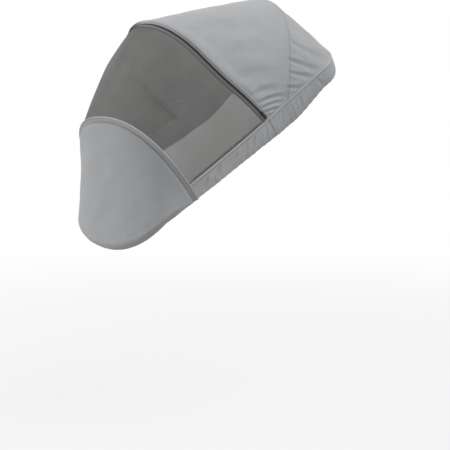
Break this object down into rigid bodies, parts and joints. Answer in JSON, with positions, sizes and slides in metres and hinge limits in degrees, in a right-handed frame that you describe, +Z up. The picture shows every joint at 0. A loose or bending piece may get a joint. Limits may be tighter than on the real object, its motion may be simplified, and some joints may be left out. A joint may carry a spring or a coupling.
{
  "type": "stroller mosquito net",
  "caption": "Sewn cover for a pram or child seat with a fabric hood, a zipped see-through net window, a fabric foot cover with a rolled rim and an elastic hem.",
  "frame": {"origin": "centre of the hem opening that goes over the seat, on the cover's middle plane", "axes": "+X towards the head end along the ground, +Y to the right of someone lying in the seat, +Z up; the cover lies back 35 degrees, as it is worn"},
  "size_m": [0.7123, 0.48, 0.6881],
  "materials": {
    "fabric": "matt stretch cloth, mid grey",
    "net": "fine see-through mesh, dark grey",
    "binding": "matt folded binding, mid grey",
    "piping": "light grey covered cord",
    "tape": "black woven zip tape",
    "coil": "black nylon coil",
    "elastic": "braided elastic cord, light grey",
    "slider": "black painted zip metal"
  },
  "bodies": {
    "cover": {"band_front_left": "fabric", "band_front_right": "fabric", "band_piping": "piping", "band_rear": "fabric", "band_seam_tape_left": "binding", "band_seam_tape_right": "binding", "boot_panel": "fabric", "boot_rim_binding": "binding", "boot_rim_elastic": "elastic", "hem_channel": "binding", "hem_elastic": "elastic", "hood_front_panel": "fabric", "hood_rear_panel": "fabric", "hood_seam_tape": "binding", "net_base_tape_left": "binding", "net_base_tape_right": "binding", "net_window": "net", "net_zip_binding": "binding", "zip_coil_hood": "coil", "zip_coil_net": "coil", "zip_stop_left": "slider", "zip_stop_right": "slider", "zip_tape_hood": "tape", "zip_tape_net": "tape"},
    "zip_slider": {"zip_slider_body": "slider"},
    "zip_pull": {"zip_pull_tab": "slider"}
  },
  "joints": [
    {"name": "zip_slide", "type": "hinge", "parent": "cover", "child": "zip_slider", "pos_m": [-0.02739, 0.136, 0.10858], "axis": [-0.6184, 0, -0.7859], "range_deg": [-2.2, 15]},
    {"name": "pull_swing", "type": "hinge", "parent": "zip_slider", "child": "zip_pull", "pos_m": [-0.00026, -0.22922, 0.08724], "axis": [-0.6184, 0, -0.7859], "range_deg": [-4.5, 170]}
  ]
}
